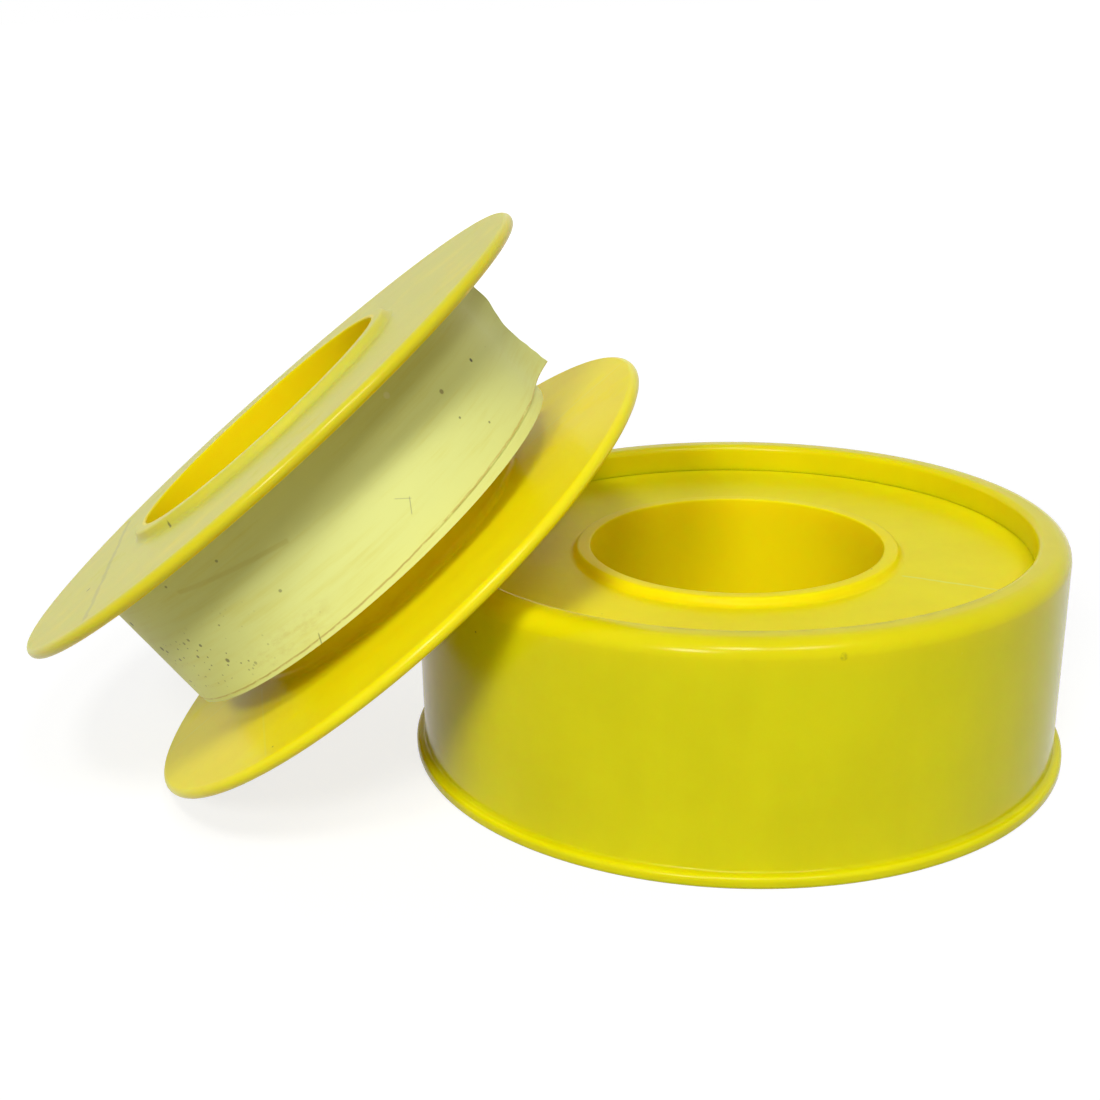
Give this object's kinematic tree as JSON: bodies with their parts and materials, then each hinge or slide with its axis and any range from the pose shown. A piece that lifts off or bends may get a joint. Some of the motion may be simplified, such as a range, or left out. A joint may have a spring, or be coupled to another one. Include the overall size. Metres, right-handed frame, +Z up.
{
  "type": "thread seal tape roll",
  "caption": "Thread seal tape on yellow flanged spools: an open, part used roll leans on a closed roll in its cover ring.",
  "frame": {"origin": "on the axis of the closed roll, in the plane that both rolls stand on", "axes": "+Z up along the closed roll's axis; +X from the open roll to the closed one; +Y away from the picture's viewer"},
  "size_m": [0.0925, 0.0592, 0.0479],
  "materials": {
    "spool_plastic": "satin moulded yellow plastic",
    "cover_plastic": "satin moulded yellow plastic",
    "tape_film": "soft waxy cream film"
  },
  "bodies": {
    "covered_roll": {"covered_spool": "spool_plastic", "covered_tape": "tape_film"},
    "cover": {"cover_ring": "cover_plastic"},
    "open_roll": {"open_spool": "spool_plastic", "open_tape": "tape_film"},
    "loose_end": {"tape_end": "tape_film"}
  },
  "joints": [
    {"name": "open_roll_tip", "type": "hinge", "parent": "covered_roll", "child": "open_roll", "pos_m": [-0.05201, -0.0014, 0.00055], "axis": [0, -1, 0], "range_deg": [0, 51.5]},
    {"name": "cover_lift", "type": "slide", "parent": "covered_roll", "child": "cover", "axis": [0, 0, 1], "range_m": [0, 0.022]},
    {"name": "tape_peel", "type": "hinge", "parent": "open_roll", "child": "loose_end", "pos_m": [-0.02115, -0.00353, 0.038], "axis": [0.6225, 0, -0.7826], "range_deg": [0, 45]}
  ],
  "couplings": [
    {"joint": "cover_lift", "follows": "open_roll_tip", "m_per_rad": 0.024476}
  ]
}
